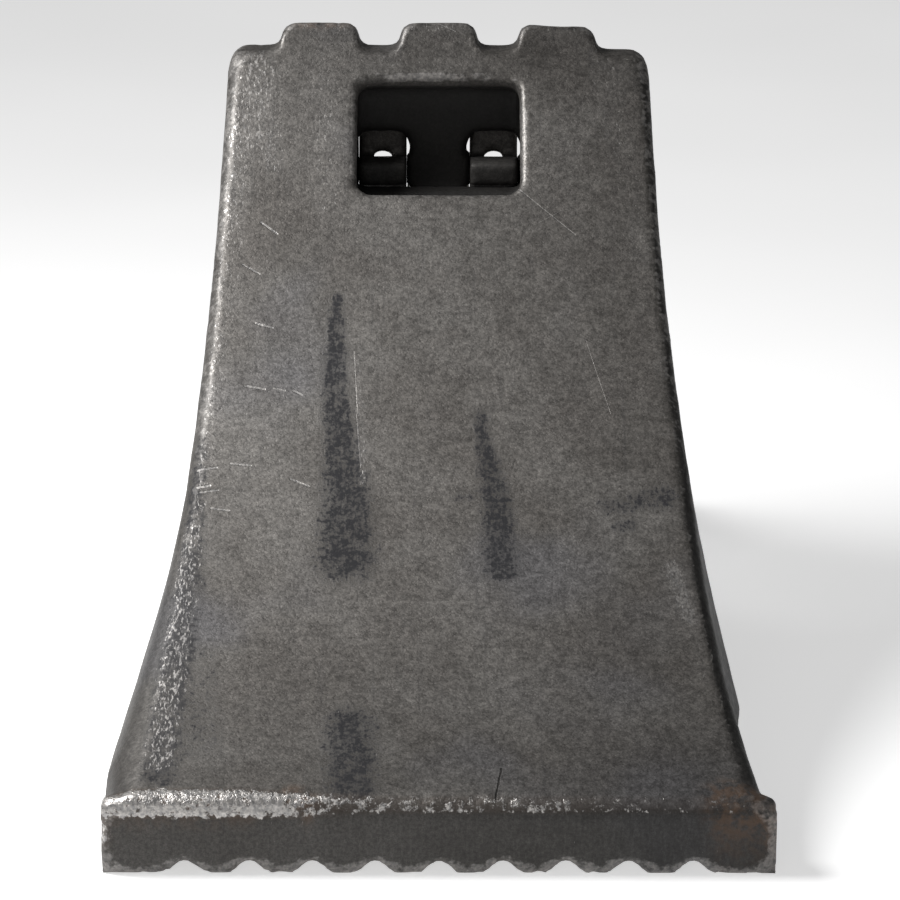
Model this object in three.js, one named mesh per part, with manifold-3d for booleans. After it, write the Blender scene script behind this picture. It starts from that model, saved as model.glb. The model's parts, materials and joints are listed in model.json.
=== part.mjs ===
// A folding wheel chock for trucks: a cast face with a concave tyre surface and a rear brace that swings out
// behind it on a five-knuckle hinge and folds forward under the face for storage.
// Units are millimetres. +Z is up, the toe points to -Y, and the origin is on the ground under the middle of
// the object's box.
import * as THREE from "three";
import { mergeVertices } from "three/addons/utils/BufferGeometryUtils.js";
import Module from "manifold-3d";

const wasm = await Module();
wasm.setup();

// ---------------------------------------------------------------- driving dimensions
const LENGTH = 381;                  // toe lip to brace foot, open
const WIDTH = 216;                   // across the toe lip
const TYRE_RADIUS = 560;             // concave face
const TYRE_CENTRE_BACK = -165.6;     // tyre centre, measured back from the toe lip
const VALLEY_HEIGHT = 209.3;         // top edge between the teeth
const HOOD_BACK = 285;               // rear face of the hood wall, back from the toe lip
const FACE_WALL = 8;                 // casting wall under the tyre face
const SIDE_WALL = 7.5;
const HOOD_WALL = 7;

const FACE_HALF_AT_TOE = 99.2;       // half width of the tyre face at its toe end
const FACE_TAPER = 0.098;            // how fast it narrows per mm back
const FACE_TAPER_EASE = 6.4e-5;      // how the taper eases further back
const FACE_EDGE_RADIUS = 6;
const SKIRT_TAPER_START = 120;       // the side walls' ground line is parallel up to here
const SKIRT_TAPER = 0.03;
const SKIRT_BACK = 200;              // where the side walls leave the ground
const BULGE_AT_TOE = 0.35;           // the side walls bulge at the toe and turn hollow further back
const BULGE_CHANGE = 1.35;
const REAR_WALL_EDGE = 160;          // lower edge of the rear wall beside the hinge lugs

const LIP_HEIGHT = 25.4;
const LIP_DEPTH = 18;
const LIP_TOP_BACK = 8;              // the lip's top slopes away behind this
const LIP_BACK_HEIGHT = 12;
const LIP_ROUNDING = 4.5;            // along the lip's upper front edge
const LIP_CORNER = 3;
const LIP_FILLET = 8;                // concave corner between the face's edge and the lip
const NOTCH_COUNT = 9;
const NOTCH_PITCH = 20.3;
const NOTCH_MOUTH = 10.2;
const NOTCH_CROWN = 3;
const NOTCH_DEPTH = 4.4;

const TOOTH_CENTRES = [-43.5, 0, 43.5];
const TOOTH_HALF = 14.4;
const TOOTH_FOOT_HALF = 17.2;
const TOOTH_TOP = 218.5;
const TOOTH_CORNER = 6;
const TOOTH_BACK_CHAMFER = 4;
const TOOTH_FRONT = 262;             // where a tooth's front meets the face, back from the toe lip

const WINDOW_HALF = 29.6;
const WINDOW_CORNER = 4.5;
const WINDOW_LOW_ANGLE = 45.3;       // degrees round the tyre from straight down
const WINDOW_HIGH_ANGLE = 50.1;
const REAR_OPENING_HALF = 30.9;      // opening in the hood wall that the brace's ears stand in
const HOOD_EDGE_FRONT = 177.6;       // lower edge of the hood wall over that opening
const HOOD_EDGE_REAR = 176.2;
const FACE_END_ANGLE = 51.4;         // degrees round the tyre where the face meets the hood's flat top

const HINGE_BACK = 284;              // hinge axis, back from the toe lip
const HINGE_HEIGHT = 145;
const KNUCKLE_RADIUS = 12.5;
const PIN_RADIUS = 6;
const GAP = 0.3;                     // clearance between pieces that touch
const CENTRE_KNUCKLE_HALF = 10.4;
const EAR_INNER = 11.8;
const EAR_OUTER = 29.5;
const LUG_OUTER = 43;
const GAP_SHOULDERS = [               // from x to x
  [-EAR_INNER + GAP, EAR_INNER - GAP],
  [EAR_OUTER + GAP, LUG_OUTER],
  [-LUG_OUTER, -EAR_OUTER - GAP],
];
const BUSHING_RADIUS = 8;
const WASHER_RADIUS = 12;

const EAR_FRONT = 287;               // the ears' upright tabs, back from the toe lip
const EAR_BACK = 295;
const EAR_TOP = 190;
const EAR_HOLE_RADIUS = 4.8;
const EAR_HOLE_HEIGHT = 163;
const STOP_FRONT = 264;              // the ears' forward stop toes
const STOP_TOP = 169;
const STOP_UNDERSIDE = 160;
const LEDGE_FRONT = 258;             // casting ledge that the stop toes land on
const LEDGE_BACK = 269;
const LEDGE_UNDERSIDE = 150;

const BRACE_HALF_AT_FOOT = 80;
const BRACE_HALF_AT_HINGE = 40;
const BRACE_PLATE = 9;
const BRACE_RAIL = 8;                // width of the raised rail along each edge
const BRACE_RAIL_HEIGHT = 6;
const FOOT_FRONT = 352;              // flat underside of the foot, back from the toe lip
const FOOT_NOTCH_COUNT = 7;

const RIB_THICKNESS = 6;
const RIB_DEPTH = 6;
const RIB_X = 66;
const CENTRE_RIB_END = 215;           // the middle rib stops short of the hand window
const CROSS_RIBS = [70, 118];
const CHEEK_FRONT = 150;             // the cheeks that carry the hinge start here
const CHEEK_TOP_BACK = 268;

const BUMPER_BACK = 146;             // rubber bumpers under the face, back from the toe lip
const BUMPER_X = 53;
const BUMPER_RADIUS = 8;
const BUMPER_HEIGHT = 8;

// ---------------------------------------------------------------- materials
const castAlloy = new THREE.MeshStandardMaterial({ color: 0x56534e, roughness: 0.62, metalness: 0.75 });
const steel = new THREE.MeshStandardMaterial({ color: 0x9a9c9e, roughness: 0.35, metalness: 1 });
const bronze = new THREE.MeshStandardMaterial({ color: 0xa9803f, roughness: 0.4, metalness: 1 });
const nylon = new THREE.MeshStandardMaterial({ color: 0xd8d4c6, roughness: 0.6, metalness: 0 });
const rubber = new THREE.MeshStandardMaterial({ color: 0x1c1c1d, roughness: 0.85, metalness: 0 });

// ---------------------------------------------------------------- frames and solids
const AXIS_X = new THREE.Vector3(1, 0, 0);
const AXIS_Y = new THREE.Vector3(0, 1, 0);
const AXIS_Z = new THREE.Vector3(0, 0, 1);
const ROUND = 24;                    // sides of a round hole or pin

// Turns a distance back from the toe lip into the object's Y.
function back(distance) {
  return distance - LENGTH / 2;
}

function solidOf(geometry) {
  const bare = geometry.index ? geometry.toNonIndexed() : geometry.clone();
  bare.deleteAttribute("normal");
  bare.deleteAttribute("uv");
  const merged = mergeVertices(bare, 1e-4);
  return new wasm.Manifold(new wasm.Mesh({
    numProp: 3,
    vertProperties: new Float32Array(merged.attributes.position.array),
    triVerts: new Uint32Array(merged.index.array),
  }));
}

function geometryOf(solid) {
  const mesh = solid.getMesh();
  const geometry = new THREE.BufferGeometry();
  geometry.setAttribute("position", new THREE.BufferAttribute(new Float32Array(mesh.vertProperties), 3));
  geometry.setIndex(new THREE.BufferAttribute(new Uint32Array(mesh.triVerts), 1));
  geometry.computeVertexNormals();
  return geometry;
}

function extruded(shape, depth, basis) {
  const geometry = new THREE.ExtrudeGeometry(shape, { depth, bevelEnabled: false, curveSegments: 5 });
  geometry.applyMatrix4(basis);
  return geometry;
}

// A side-view shape, drawn as (back from the toe, height), swept from x0 to x1.
function sweptAcross(shape, x0, x1) {
  const basis = new THREE.Matrix4().makeBasis(AXIS_Y, AXIS_Z, AXIS_X);
  basis.setPosition(x0, back(0), 0);
  return solidOf(extruded(shape, x1 - x0, basis));
}

// A front-view shape, drawn as (x, height), swept from one depth to another.
function sweptBack(shape, from, to) {
  const basis = new THREE.Matrix4().makeBasis(AXIS_X, AXIS_Z, AXIS_Y.clone().negate());
  basis.setPosition(0, back(to), 0);
  return solidOf(extruded(shape, to - from, basis));
}

function polygon(points) {
  return new THREE.Shape(points.map(([u, v]) => new THREE.Vector2(u, v)));
}

function roundedRect(u0, v0, u1, v1, radius) {
  const shape = new THREE.Shape();
  shape.moveTo(u0 + radius, v0);
  shape.lineTo(u1 - radius, v0);
  shape.absarc(u1 - radius, v0 + radius, radius, -Math.PI / 2, 0);
  shape.lineTo(u1, v1 - radius);
  shape.absarc(u1 - radius, v1 - radius, radius, 0, Math.PI / 2);
  shape.lineTo(u0 + radius, v1);
  shape.absarc(u0 + radius, v1 - radius, radius, Math.PI / 2, Math.PI);
  shape.lineTo(u0, v0 + radius);
  shape.absarc(u0 + radius, v0 + radius, radius, Math.PI, 1.5 * Math.PI);
  return shape;
}

// A round bar along X, centred on the hinge axis.
function hingeBar(radius, x0, x1) {
  const bar = new THREE.CylinderGeometry(radius, radius, x1 - x0, ROUND);
  bar.rotateZ(Math.PI / 2);
  bar.translate((x0 + x1) / 2, back(HINGE_BACK), HINGE_HEIGHT);
  return solidOf(bar);
}

// A closed skin through rings of equal length, capped at both ends.
function lofted(rings) {
  const count = rings[0].length;
  const positions = rings.flat(2);
  const index = [];
  for (let ring = 0; ring + 1 < rings.length; ring += 1) {
    for (let i = 0; i < count; i += 1) {
      const a = ring * count + i;
      const b = ring * count + ((i + 1) % count);
      index.push(a, a + count, b, b, a + count, b + count);
    }
  }
  const last = (rings.length - 1) * count;
  for (let i = 1; i + 1 < count; i += 1) {
    index.push(0, i, i + 1, last, last + i + 1, last + i);
  }
  const geometry = new THREE.BufferGeometry();
  geometry.setAttribute("position", new THREE.BufferAttribute(new Float32Array(positions), 3));
  geometry.setIndex(index);
  return solidOf(geometry);
}

// ---------------------------------------------------------------- face casting: its outline
function tyreAngle(distance) {
  return Math.asin((distance - TYRE_CENTRE_BACK) / TYRE_RADIUS);
}

function faceHeight(distance) {
  const intoRounding = Math.max(0, LIP_ROUNDING - distance);
  const rounding = LIP_ROUNDING - Math.sqrt(LIP_ROUNDING ** 2 - intoRounding ** 2);
  return Math.min(TYRE_RADIUS * (1 - Math.cos(tyreAngle(distance))), VALLEY_HEIGHT) - rounding;
}

function facePoint(degrees) {
  const angle = THREE.MathUtils.degToRad(degrees);
  return [TYRE_CENTRE_BACK + TYRE_RADIUS * Math.sin(angle), TYRE_RADIUS * (1 - Math.cos(angle))];
}

function faceHalfWidth(distance) {
  const taper = FACE_HALF_AT_TOE - FACE_TAPER * distance + FACE_TAPER_EASE * distance ** 2;
  const intoFillet = Math.max(0, 1 - distance / (LIP_FILLET + 2));
  return Math.min(taper + LIP_FILLET * intoFillet ** 2, WIDTH / 2);
}

function skirtHalfWidth(distance) {
  return WIDTH / 2 - SKIRT_TAPER * Math.max(0, distance - SKIRT_TAPER_START);
}

// Lower edge of the side walls: along the ground, then up to the hinge.
function skirtHeight(distance) {
  const rise = (distance - SKIRT_BACK) / (HINGE_BACK - KNUCKLE_RADIUS - SKIRT_BACK);
  return REAR_WALL_EDGE * THREE.MathUtils.clamp(rise, 0, 1);
}

const SIDE_STEPS = [0, 0.14, 0.3, 0.48, 0.68, 0.86];

// One cross-section at a distance back from the toe, shrunk by the wall where an inside is wanted.
function sectionRing(distance, bottom, topWall, sideWall, edge) {
  const steps = 4;
  const y = back(distance);
  const top = faceHeight(distance) - topWall;
  const faceHalf = faceHalfWidth(distance);
  const flare = skirtHalfWidth(distance) - faceHalf;
  const bulge = BULGE_AT_TOE + BULGE_CHANGE * (Math.min(distance, SKIRT_BACK) / SKIRT_BACK) ** 1.3;
  const depthShare = (z) => THREE.MathUtils.clamp(1 - z / faceHeight(distance), 0, 1);
  const halfAt = (z) => faceHalf + flare * depthShare(z) ** bulge - sideWall;
  const radius = Math.min(edge, (top - bottom) * 0.4);
  const right = SIDE_STEPS.map((share) => bottom + share * (top - radius - bottom)).map((z) => [halfAt(z), y, z]);
  for (let i = 0; i <= steps; i += 1) {
    const angle = (i / steps) * (Math.PI / 2);
    const z = top - radius * (1 - Math.sin(angle));
    right.push([halfAt(z) - radius * (1 - Math.cos(angle)), y, z]);
  }
  const left = right.map(([x, yy, z]) => [-x, yy, z]).reverse();
  return [...right, ...left];
}

function stations(from, to, count) {
  return Array.from({ length: count + 1 }, (_, i) => from + ((to - from) * i) / count);
}

function castingEnvelope() {
  const toe = [0.3, 0.9, 1.8, 3, LIP_ROUNDING, 6, 8, 11, 16];
  const middle = stations(24, SKIRT_BACK, 14);
  const upper = stations(SKIRT_BACK + 6, facePoint(FACE_END_ANGLE)[0], 7);
  const hood = [HOOD_BACK - 6, HOOD_BACK];
  return lofted([...toe, ...middle, ...upper, ...hood].map(
    (distance) => sectionRing(distance, skirtHeight(distance), 0, 0, FACE_EDGE_RADIUS)));
}

function castingHollow() {
  const below = -20;
  const reach = [...stations(LIP_DEPTH, SKIRT_BACK, 14), ...stations(SKIRT_BACK + 6, HOOD_BACK - HOOD_WALL, 8)];
  return lofted(reach.map((distance) => {
    const wall = FACE_WALL / Math.cos(tyreAngle(Math.min(distance, facePoint(FACE_END_ANGLE)[0])));
    return sectionRing(distance, below, wall, SIDE_WALL, FACE_EDGE_RADIUS / 2);
  }));
}

// ---------------------------------------------------------------- face casting: its features
function notchShape(centre) {
  const mouth = NOTCH_MOUTH / 2;
  const crown = NOTCH_CROWN / 2;
  const shoulder = NOTCH_DEPTH - 0.8;
  const shape = new THREE.Shape();
  shape.moveTo(centre - mouth - 1, -1);
  shape.lineTo(centre - crown - 0.8, shoulder);
  shape.quadraticCurveTo(centre, NOTCH_DEPTH + 0.8, centre + crown + 0.8, shoulder);
  shape.lineTo(centre + mouth + 1, -1);
  return shape;
}

function withNotches(solid, count, from, to) {
  let result = solid;
  for (let i = 0; i < count; i += 1) {
    const centre = (i - (count - 1) / 2) * NOTCH_PITCH;
    result = result.subtract(sweptBack(notchShape(centre), from, to));
  }
  return result;
}

function toeLip() {
  const bar = roundedRect(-WIDTH / 2, 0, WIDTH / 2, LIP_HEIGHT, LIP_CORNER);
  const side = new THREE.Shape();
  side.moveTo(0, 0);
  side.lineTo(LIP_DEPTH, 0);
  side.lineTo(LIP_DEPTH, LIP_BACK_HEIGHT);
  side.lineTo(LIP_TOP_BACK, LIP_HEIGHT);
  side.lineTo(LIP_ROUNDING, LIP_HEIGHT);
  side.absarc(LIP_ROUNDING, LIP_HEIGHT - LIP_ROUNDING, LIP_ROUNDING, Math.PI / 2, Math.PI);
  return sweptBack(bar, 0, LIP_DEPTH).intersect(sweptAcross(side, -WIDTH / 2, WIDTH / 2));
}

function tooth(centre) {
  const root = VALLEY_HEIGHT - 12;
  const front = new THREE.Shape();
  front.moveTo(centre - TOOTH_FOOT_HALF, root);
  front.lineTo(centre - TOOTH_FOOT_HALF, VALLEY_HEIGHT - 1);
  front.quadraticCurveTo(centre - TOOTH_HALF, VALLEY_HEIGHT, centre - TOOTH_HALF, VALLEY_HEIGHT + 3);
  front.quadraticCurveTo(centre - TOOTH_HALF, TOOTH_TOP, centre - TOOTH_HALF + TOOTH_CORNER, TOOTH_TOP);
  front.lineTo(centre + TOOTH_HALF - TOOTH_CORNER, TOOTH_TOP);
  front.quadraticCurveTo(centre + TOOTH_HALF, TOOTH_TOP, centre + TOOTH_HALF, VALLEY_HEIGHT + 3);
  front.quadraticCurveTo(centre + TOOTH_HALF, VALLEY_HEIGHT, centre + TOOTH_FOOT_HALF, VALLEY_HEIGHT - 1);
  front.lineTo(centre + TOOTH_FOOT_HALF, root);
  const [edgeBack, edgeHeight] = facePoint(FACE_END_ANGLE);
  const side = polygon([
    [TOOTH_FRONT, faceHeight(TOOTH_FRONT) + 0.2],
    [HOOD_BACK, faceHeight(TOOTH_FRONT)],
    [HOOD_BACK, TOOTH_TOP - TOOTH_BACK_CHAMFER],
    [HOOD_BACK - TOOTH_BACK_CHAMFER, TOOTH_TOP],
    [edgeBack + 6, TOOTH_TOP],
    [edgeBack + 1.5, edgeHeight + 3],
  ]);
  return sweptBack(front, TOOTH_FRONT - 1, HOOD_BACK).intersect(
    sweptAcross(side, centre - TOOTH_FOOT_HALF - 1, centre + TOOTH_FOOT_HALF + 1));
}

// The hand window is cut square to the tyre face.
function handWindow() {
  const middle = THREE.MathUtils.degToRad((WINDOW_LOW_ANGLE + WINDOW_HIGH_ANGLE) / 2);
  const half = (THREE.MathUtils.degToRad(WINDOW_HIGH_ANGLE - WINDOW_LOW_ANGLE) * TYRE_RADIUS) / 2;
  const along = new THREE.Vector3(0, Math.cos(middle), Math.sin(middle));
  const outward = new THREE.Vector3().crossVectors(AXIS_X, along);
  const [middleBack, middleHeight] = facePoint((WINDOW_LOW_ANGLE + WINDOW_HIGH_ANGLE) / 2);
  const basis = new THREE.Matrix4().makeBasis(AXIS_X, along, outward);
  const reach = 10;
  const start = new THREE.Vector3(0, back(middleBack), middleHeight).addScaledVector(outward, -reach);
  basis.setPosition(start);
  const shape = roundedRect(-WINDOW_HALF, -half, WINDOW_HALF, half, WINDOW_CORNER);
  return solidOf(extruded(shape, 2 * reach, basis));
}

function rearOpening() {
  const front = HOOD_BACK - HOOD_WALL - 3;
  const rear = HOOD_BACK + 20;
  const side = polygon([
    [front, HINGE_HEIGHT - 45],
    [rear, HINGE_HEIGHT - 45],
    [rear, HOOD_EDGE_REAR],
    [HOOD_BACK, HOOD_EDGE_REAR],
    [HOOD_BACK - HOOD_WALL, HOOD_EDGE_FRONT],
    [front, HOOD_EDGE_FRONT],
  ]);
  return sweptAcross(side, -REAR_OPENING_HALF, REAR_OPENING_HALF);
}

// Fills most of the gap beside an ear, above the hinge's washers and again under the hood wall's edge.
function gapShoulder(x0, x1) {
  const low = HINGE_HEIGHT + WASHER_RADIUS + 1;
  const high = STOP_TOP - 1;
  const front = HOOD_BACK - HOOD_WALL;
  const lower = polygon([
    [front, low], [HINGE_BACK + 9, low], [HINGE_BACK + 9, high - 5], [HINGE_BACK, high], [front, high],
  ]);
  const upper = roundedRect(front, HOOD_EDGE_REAR - 2.5, HOOD_BACK, HOOD_EDGE_FRONT + 3, 1);
  return sweptAcross(lower, x0, x1).add(sweptAcross(upper, x0, x1));
}

// A cheek on one side of the window: it ties the face to the hood wall and ends in the outer hinge lug.
function cheek(side) {
  const shape = new THREE.Shape();
  shape.moveTo(CHEEK_FRONT, faceHeight(CHEEK_FRONT) - FACE_WALL - 9);
  shape.lineTo(HINGE_BACK - 22, HINGE_HEIGHT - 3.5);
  shape.lineTo(HINGE_BACK - 16, HINGE_HEIGHT - 2);
  shape.lineTo(HINGE_BACK, HINGE_HEIGHT);
  shape.lineTo(HOOD_BACK, HINGE_HEIGHT + 8);
  shape.lineTo(HOOD_BACK, VALLEY_HEIGHT - 8);
  for (const distance of stations(CHEEK_TOP_BACK, CHEEK_FRONT, 12)) {
    shape.lineTo(distance, faceHeight(distance) - 2);
  }
  const x0 = side > 0 ? REAR_OPENING_HALF : -LUG_OUTER;
  const x1 = side > 0 ? LUG_OUTER : -REAR_OPENING_HALF;
  return sweptAcross(shape, x0, x1).add(hingeBar(KNUCKLE_RADIUS, x0, x1));
}

function centreKnuckle() {
  const rear = HINGE_BACK + KNUCKLE_RADIUS - 0.2;
  const web = polygon([
    [HOOD_BACK - HOOD_WALL, HINGE_HEIGHT],
    [rear, HINGE_HEIGHT],
    [rear, HINGE_HEIGHT + 16],
    [HOOD_BACK, HOOD_EDGE_FRONT + 8],
    [HOOD_BACK - HOOD_WALL, HOOD_EDGE_FRONT + 8],
  ]);
  return sweptAcross(web, -CENTRE_KNUCKLE_HALF, CENTRE_KNUCKLE_HALF).add(
    hingeBar(KNUCKLE_RADIUS, -CENTRE_KNUCKLE_HALF, CENTRE_KNUCKLE_HALF));
}

function stopLedge() {
  const shape = roundedRect(LEDGE_FRONT, LEDGE_UNDERSIDE, LEDGE_BACK, STOP_UNDERSIDE - GAP, 1.5);
  return sweptAcross(shape, -REAR_OPENING_HALF - 1, REAR_OPENING_HALF + 1);
}

// Stiffening ribs on the underside of the face, kept clear of the folded brace.
function longitudinalRib(x, end) {
  const shape = new THREE.Shape();
  const reach = stations(LIP_DEPTH - 1, end, 16);
  const depthAt = (distance) => FACE_WALL / Math.cos(tyreAngle(distance)) + RIB_DEPTH;
  shape.moveTo(reach[0], faceHeight(reach[0]) - 2);
  reach.forEach((distance) => shape.lineTo(distance, faceHeight(distance) - depthAt(distance)));
  reach.reverse().forEach((distance) => shape.lineTo(distance, faceHeight(distance) - 2));
  return sweptAcross(shape, x - RIB_THICKNESS / 2, x + RIB_THICKNESS / 2);
}

function crossRib(distance) {
  const top = faceHeight(distance) - 3;
  const half = faceHalfWidth(distance) - 2;
  const bottom = faceHeight(distance) - FACE_WALL / Math.cos(tyreAngle(distance)) - RIB_DEPTH;
  const shape = polygon([[-half, bottom], [half, bottom], [half, top], [-half, top]]);
  return sweptBack(shape, distance, distance + RIB_THICKNESS);
}

function bumperBoss(x) {
  const boss = new THREE.CylinderGeometry(BUMPER_RADIUS, BUMPER_RADIUS + 1, 8, ROUND);
  boss.rotateX(Math.PI / 2);
  return placedOnBumperAxis(boss, x, 5);
}

// Lays a piece built along Z on the bumper's axis, square to the underside of the face.
function placedOnBumperAxis(geometry, x, offset) {
  const angle = tyreAngle(BUMPER_BACK);
  const turned = geometry.clone();
  turned.rotateX(angle);
  const inward = new THREE.Vector3(0, Math.sin(angle), -Math.cos(angle));
  const surface = new THREE.Vector3(x, back(BUMPER_BACK), faceHeight(BUMPER_BACK));
  const place = surface.addScaledVector(inward, offset);
  turned.translate(place.x, place.y, place.z);
  return turned;
}

const BUMPER_FACE = FACE_WALL + 2;   // depth of the boss face under the tyre surface
const SCREW_RADIUS = 2.5;
const SCREW_DEPTH = 4.5;             // how far the bumper screw goes into the casting

function screwBore(x) {
  const depth = BUMPER_FACE - (FACE_WALL + 2 - SCREW_DEPTH) + 0.4;
  const bore = new THREE.CylinderGeometry(SCREW_RADIUS + GAP, SCREW_RADIUS + GAP, depth + 6, ROUND);
  bore.rotateX(Math.PI / 2);
  return solidOf(placedOnBumperAxis(bore, x, BUMPER_FACE - depth + (depth + 6) / 2));
}

function faceCasting() {
  const envelope = castingEnvelope();
  const sideRibs = [-RIB_X, RIB_X].map((x) => longitudinalRib(x, HOOD_BACK - HOOD_WALL + 1));
  const ribs = [...sideRibs, longitudinalRib(0, CENTRE_RIB_END), ...CROSS_RIBS.map(crossRib)];
  let solid = envelope.subtract(castingHollow());
  for (const rib of ribs) {
    solid = solid.add(rib.intersect(envelope));
  }
  for (const side of [-1, 1]) {
    solid = solid.add(cheek(side));
    solid = solid.add(solidOf(bumperBoss(side * BUMPER_X)));
  }
  solid = solid.add(toeLip());
  for (const centre of TOOTH_CENTRES) {
    solid = solid.add(tooth(centre));
  }
  solid = solid.subtract(rearOpening());
  solid = solid.add(centreKnuckle());
  for (const [x0, x1] of GAP_SHOULDERS) {
    solid = solid.add(gapShoulder(x0, x1));
  }
  solid = solid.subtract(handWindow());
  solid = solid.add(stopLedge());
  for (const side of [-1, 1]) {
    solid = solid.subtract(screwBore(side * BUMPER_X));
  }
  solid = withNotches(solid, NOTCH_COUNT, -1, LIP_DEPTH + 1);
  return solid.subtract(hingeBar(PIN_RADIUS + GAP, -LUG_OUTER - 1, LUG_OUTER + 1));
}

// ---------------------------------------------------------------- rear brace
const FOOT_MIDDLE = (FOOT_FRONT + LENGTH) / 2;
const BRACE_ANGLE = Math.atan2(-HINGE_HEIGHT, FOOT_MIDDLE - HINGE_BACK);
const BRACE_REACH = Math.hypot(HINGE_HEIGHT, FOOT_MIDDLE - HINGE_BACK);

// A plan shape, drawn as (x, distance down the brace from the hinge), given a thickness across the brace.
function sweptAcrossBrace(shape, from, to) {
  const down = new THREE.Vector3(0, Math.cos(BRACE_ANGLE), Math.sin(BRACE_ANGLE));
  const outward = new THREE.Vector3().crossVectors(AXIS_X, down);
  const basis = new THREE.Matrix4().makeBasis(AXIS_X, down, outward);
  const origin = new THREE.Vector3(0, back(HINGE_BACK), HINGE_HEIGHT).addScaledVector(outward, from);
  basis.setPosition(origin);
  return solidOf(extruded(shape, to - from, basis));
}

function braceOutline(inset) {
  const nearHinge = 17 + inset;
  const full = 62;
  const end = BRACE_REACH + 12;
  const halfHinge = BRACE_HALF_AT_HINGE - inset;
  const halfFoot = BRACE_HALF_AT_FOOT - inset;
  const shape = new THREE.Shape();
  shape.moveTo(-halfHinge + 6, nearHinge);
  shape.lineTo(halfHinge - 6, nearHinge);
  shape.quadraticCurveTo(halfHinge, nearHinge, halfHinge + 1, nearHinge + 8);
  shape.quadraticCurveTo(halfHinge + 6, full, halfFoot, end - 45);
  shape.lineTo(halfFoot, end);
  shape.lineTo(-halfFoot, end);
  shape.lineTo(-halfFoot, end - 45);
  shape.quadraticCurveTo(-halfHinge - 6, full, -halfHinge - 1, nearHinge + 8);
  shape.quadraticCurveTo(-halfHinge, nearHinge, -halfHinge + 6, nearHinge);
  return shape;
}

function lighteningHole() {
  const shape = new THREE.Shape();
  shape.moveTo(-16, 52);
  shape.quadraticCurveTo(-14, 46, -8, 46);
  shape.lineTo(8, 46);
  shape.quadraticCurveTo(14, 46, 16, 52);
  shape.lineTo(44, 122);
  shape.quadraticCurveTo(47, 132, 38, 132);
  shape.lineTo(-38, 132);
  shape.quadraticCurveTo(-47, 132, -44, 122);
  return shape;
}

function braceEar(side) {
  const tab = roundedRect(EAR_FRONT, HINGE_HEIGHT, EAR_BACK, EAR_TOP, 3);
  const stop = polygon([
    [STOP_FRONT, STOP_UNDERSIDE],
    [STOP_FRONT + 8, STOP_UNDERSIDE],
    [HINGE_BACK - 9, HINGE_HEIGHT + 6],
    [HINGE_BACK + 6, HINGE_HEIGHT + 8],
    [EAR_FRONT + 1, STOP_TOP - 3],
    [HINGE_BACK - 6, STOP_TOP - 1],
    [STOP_FRONT + 9, STOP_TOP],
    [STOP_FRONT + 1, STOP_TOP],
    [STOP_FRONT, STOP_TOP - 1],
  ]);
  const x0 = side > 0 ? EAR_INNER : -EAR_OUTER;
  const x1 = side > 0 ? EAR_OUTER : -EAR_INNER;
  const neck = polygon([[x0, -2], [x1, -2], [x1, 22], [x0, 22]]);
  return hingeBar(KNUCKLE_RADIUS, x0, x1)
    .add(sweptAcross(tab, x0, x1))
    .add(sweptAcross(stop, x0, x1))
    .add(sweptAcrossBrace(neck, -BRACE_PLATE / 2 - 2, BRACE_PLATE / 2 + BRACE_RAIL_HEIGHT - 3));
}

function braceFoot() {
  const shape = polygon([
    [FOOT_FRONT, 0],
    [LENGTH, 0],
    [LENGTH, 9],
    [LENGTH - 17, 26],
    [FOOT_FRONT - 5, 22],
    [FOOT_FRONT - 2, 2],
  ]);
  return sweptAcross(shape, -BRACE_HALF_AT_FOOT, BRACE_HALF_AT_FOOT);
}

function earHole(side) {
  const hole = new THREE.Shape();
  hole.absarc((side * (EAR_INNER + EAR_OUTER)) / 2, EAR_HOLE_HEIGHT, EAR_HOLE_RADIUS, 0, 2 * Math.PI);
  return sweptBack(hole, EAR_FRONT - 2, EAR_BACK + 2);
}

function rearBrace() {
  const half = BRACE_PLATE / 2;
  const rails = sweptAcrossBrace(braceOutline(0), half - 1, half + BRACE_RAIL_HEIGHT)
    .subtract(sweptAcrossBrace(braceOutline(BRACE_RAIL), half - 2, half + BRACE_RAIL_HEIGHT + 1));
  let solid = sweptAcrossBrace(braceOutline(0), -half, half).add(rails);
  solid = solid.subtract(sweptAcrossBrace(lighteningHole(), -half - 1, half + 1));
  const underGround = sweptAcross(polygon([[250, -60], [450, -60], [450, 0], [250, 0]]), -200, 200);
  const beyondEnd = sweptAcross(polygon([[LENGTH, -60], [450, -60], [450, 80], [LENGTH, 80]]), -200, 200);
  solid = solid.subtract(underGround).subtract(beyondEnd).add(braceFoot());
  for (const side of [-1, 1]) {
    solid = solid.add(braceEar(side)).subtract(earHole(side));
  }
  solid = withNotches(solid, FOOT_NOTCH_COUNT, FOOT_FRONT - 20, LENGTH + 1);
  return solid.subtract(hingeBar(BUSHING_RADIUS + GAP, -EAR_OUTER - 1, EAR_OUTER + 1));
}

// ---------------------------------------------------------------- hinge hardware and bumpers
const THRUST_THICKNESS = 0.8;
const END_WASHER_THICKNESS = 1;
const RING_THICKNESS = 1;
const GROOVE_DEPTH = 1;
const PIN_END = 3;                   // pin left beyond the retaining ring
const RING_INNER_FACE = LUG_OUTER + GAP + END_WASHER_THICKNESS + GAP;

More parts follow.
